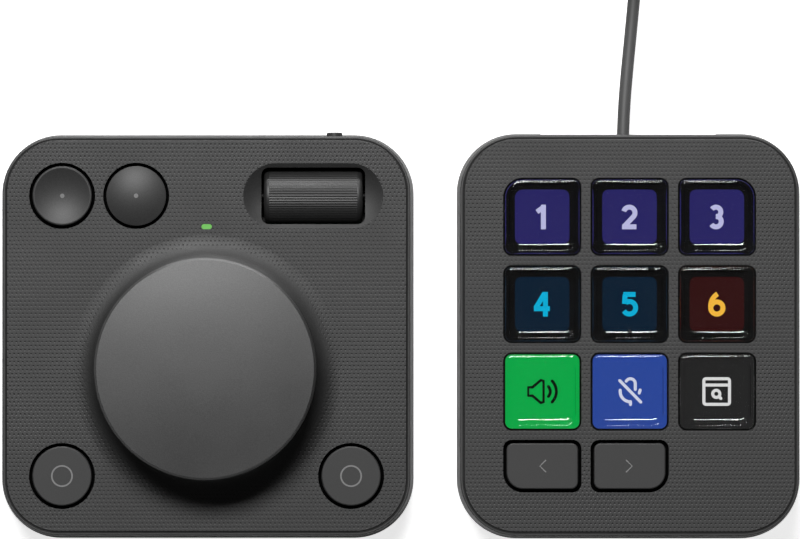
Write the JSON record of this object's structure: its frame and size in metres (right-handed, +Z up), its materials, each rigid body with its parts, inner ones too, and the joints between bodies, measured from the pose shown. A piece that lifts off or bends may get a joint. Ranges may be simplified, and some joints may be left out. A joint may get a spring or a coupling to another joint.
{
  "type": "macro keypad with dial pad",
  "caption": "Desk control pair: a dial pad with a large turning dial, a roller and round buttons, and a corded keypad with display keys and page buttons.",
  "frame": {"origin": "centre of the pair's footprint, cord left out, on the surface that the feet stand on", "axes": "+X to the right along the row of the two units, +Y to the rear where the cord leaves, +Z up"},
  "size_m": [0.1818, 0.1755, 0.034],
  "materials": {
    "panel_plastic": "fine staggered texture",
    "housing_plastic": "fine spark-eroded matte",
    "dial_plastic": "satin, fine grain",
    "button_plastic": "smooth matte",
    "roller_plastic": "satin, fine ribs",
    "clear_key": "clear, polished",
    "inner_plastic": "black moulded",
    "clear_plastic": "clear",
    "foot_rubber": "matte",
    "silicone": "translucent",
    "steel": "ground",
    "bronze": "sintered",
    "plated_spring": "nickel plated",
    "circuit_board": "solder mask",
    "board_part": "moulded",
    "cell_sleeve": "plain printed sleeve",
    "display_glass": "black glass",
    "cord_jacket": "smooth matte jacket",
    "plug_plastic": "moulded grip",
    "plug_metal": "plated"
  },
  "bodies": {
    "dial_unit": {"battery_cells": "cell_sleeve", "battery_contacts": "plated_spring", "dial_bearing_housing": "inner_plastic", "dial_bush": "bronze", "dial_sensor": "board_part", "dial_unit_base": "housing_plastic", "dial_unit_board_parts": "board_part", "dial_unit_circuit_board": "circuit_board", "dial_unit_feet": "foot_rubber", "dial_unit_frame": "housing_plastic", "dial_unit_panel": "panel_plastic", "dial_unit_screws": "steel", "roller_cradle": "inner_plastic", "roller_sensor": "circuit_board", "status_light_pipe": "clear_plastic"},
    "dial": {"dial_cap": "dial_plastic", "dial_hub": "inner_plastic", "dial_spindle": "steel", "dial_clip": "steel", "dial_encoder_disc": "inner_plastic"},
    "roller": {"roller_barrel": "roller_plastic", "roller_axle": "steel", "roller_magnet": "steel"},
    "keypad_unit": {"keypad_frame": "housing_plastic", "keypad_panel": "panel_plastic", "keypad_base": "housing_plastic", "keypad_screws": "steel", "keypad_feet": "foot_rubber", "key_guide": "inner_plastic", "key_mat": "silicone", "key_contact_sheet": "clear_plastic", "display_panel": "display_glass", "display_tray": "steel", "page_switch_board": "circuit_board", "keypad_main_board": "circuit_board", "keypad_board_parts": "board_part", "usb_socket": "plug_metal", "cord_run": "cord_jacket", "cord_coil": "cord_jacket", "cord_tail": "cord_jacket", "far_plug": "plug_plastic", "far_plug_shell": "plug_metal", "keypad_plug": "plug_plastic"},
    "pairing_button": {"pairing_button": "button_plastic"},
    "round_button_dished": {"round_button_dished": "button_plastic"},
    "round_button_domed": {"round_button_domed": "button_plastic"},
    "round_button_left": {"round_button_left": "button_plastic"},
    "round_button_right": {"round_button_right": "button_plastic"},
    "page_button_left": {"page_button_left": "button_plastic"},
    "page_button_right": {"page_button_right": "button_plastic"},
    "battery_door": {"battery_door": "housing_plastic"},
    "key_row1_column1": {"key_row1_column1": "clear_key"},
    "key_row1_column2": {"key_row1_column2": "clear_key"},
    "key_row1_column3": {"key_row1_column3": "clear_key"},
    "key_row2_column1": {"key_row2_column1": "clear_key"},
    "key_row2_column2": {"key_row2_column2": "clear_key"},
    "key_row2_column3": {"key_row2_column3": "clear_key"},
    "key_row3_column1": {"key_row3_column1": "clear_key"},
    "key_row3_column2": {"key_row3_column2": "clear_key"},
    "key_row3_column3": {"key_row3_column3": "clear_key"}
  },
  "joints": [
    {"name": "dial_turn", "type": "hinge", "parent": "dial_unit", "child": "dial", "pos_m": [-0.0439, -0.00775, 0.02], "axis": [0, 0, 1], "continuous": true},
    {"name": "roller_turn", "type": "hinge", "parent": "dial_unit", "child": "roller", "pos_m": [-0.0197, 0.03165, 0.0101], "axis": [1, 0, 0], "continuous": true},
    {"name": "battery_door_swing", "type": "hinge", "parent": "dial_unit", "child": "battery_door", "pos_m": [-0.0439, -0.01905, 0.0017], "axis": [1, 0, 0], "range_deg": [0, 50]},
    {"name": "keypad_place", "type": "slide", "parent": "dial_unit", "child": "keypad_unit", "axis": [1, 0, 0], "range_m": [0, 0.1]},
    {"name": "pairing_press", "type": "slide", "parent": "dial_unit", "child": "pairing_button", "axis": [0, -1, 0], "range_m": [0, 0.0004], "stiffness_N_per_m": 800},
    {"name": "round_button_dished_press", "type": "slide", "parent": "dial_unit", "child": "round_button_dished", "axis": [0, 0, -1], "range_m": [0, 0.0006], "stiffness_N_per_m": 600},
    {"name": "round_button_domed_press", "type": "slide", "parent": "dial_unit", "child": "round_button_domed", "axis": [0, 0, -1], "range_m": [0, 0.0006], "stiffness_N_per_m": 600},
    {"name": "round_button_left_press", "type": "slide", "parent": "dial_unit", "child": "round_button_left", "axis": [0, 0, -1], "range_m": [0, 0.0006], "stiffness_N_per_m": 600},
    {"name": "round_button_right_press", "type": "slide", "parent": "dial_unit", "child": "round_button_right", "axis": [0, 0, -1], "range_m": [0, 0.0006], "stiffness_N_per_m": 600},
    {"name": "key_row1_column1_press", "type": "slide", "parent": "keypad_unit", "child": "key_row1_column1", "axis": [0, 0, -1], "range_m": [0, 0.0009], "stiffness_N_per_m": 500},
    {"name": "key_row1_column2_press", "type": "slide", "parent": "keypad_unit", "child": "key_row1_column2", "axis": [0, 0, -1], "range_m": [0, 0.0009], "stiffness_N_per_m": 500},
    {"name": "key_row1_column3_press", "type": "slide", "parent": "keypad_unit", "child": "key_row1_column3", "axis": [0, 0, -1], "range_m": [0, 0.0009], "stiffness_N_per_m": 500},
    {"name": "key_row2_column1_press", "type": "slide", "parent": "keypad_unit", "child": "key_row2_column1", "axis": [0, 0, -1], "range_m": [0, 0.0009], "stiffness_N_per_m": 500},
    {"name": "key_row2_column2_press", "type": "slide", "parent": "keypad_unit", "child": "key_row2_column2", "axis": [0, 0, -1], "range_m": [0, 0.0009], "stiffness_N_per_m": 500},
    {"name": "key_row2_column3_press", "type": "slide", "parent": "keypad_unit", "child": "key_row2_column3", "axis": [0, 0, -1], "range_m": [0, 0.0009], "stiffness_N_per_m": 500},
    {"name": "key_row3_column1_press", "type": "slide", "parent": "keypad_unit", "child": "key_row3_column1", "axis": [0, 0, -1], "range_m": [0, 0.0009], "stiffness_N_per_m": 500},
    {"name": "key_row3_column2_press", "type": "slide", "parent": "keypad_unit", "child": "key_row3_column2", "axis": [0, 0, -1], "range_m": [0, 0.0009], "stiffness_N_per_m": 500},
    {"name": "key_row3_column3_press", "type": "slide", "parent": "keypad_unit", "child": "key_row3_column3", "axis": [0, 0, -1], "range_m": [0, 0.0009], "stiffness_N_per_m": 500},
    {"name": "page_button_left_press", "type": "slide", "parent": "keypad_unit", "child": "page_button_left", "axis": [0, 0, -1], "range_m": [0, 0.0006], "stiffness_N_per_m": 600},
    {"name": "page_button_right_press", "type": "slide", "parent": "keypad_unit", "child": "page_button_right", "axis": [0, 0, -1], "range_m": [0, 0.0006], "stiffness_N_per_m": 600}
  ]
}
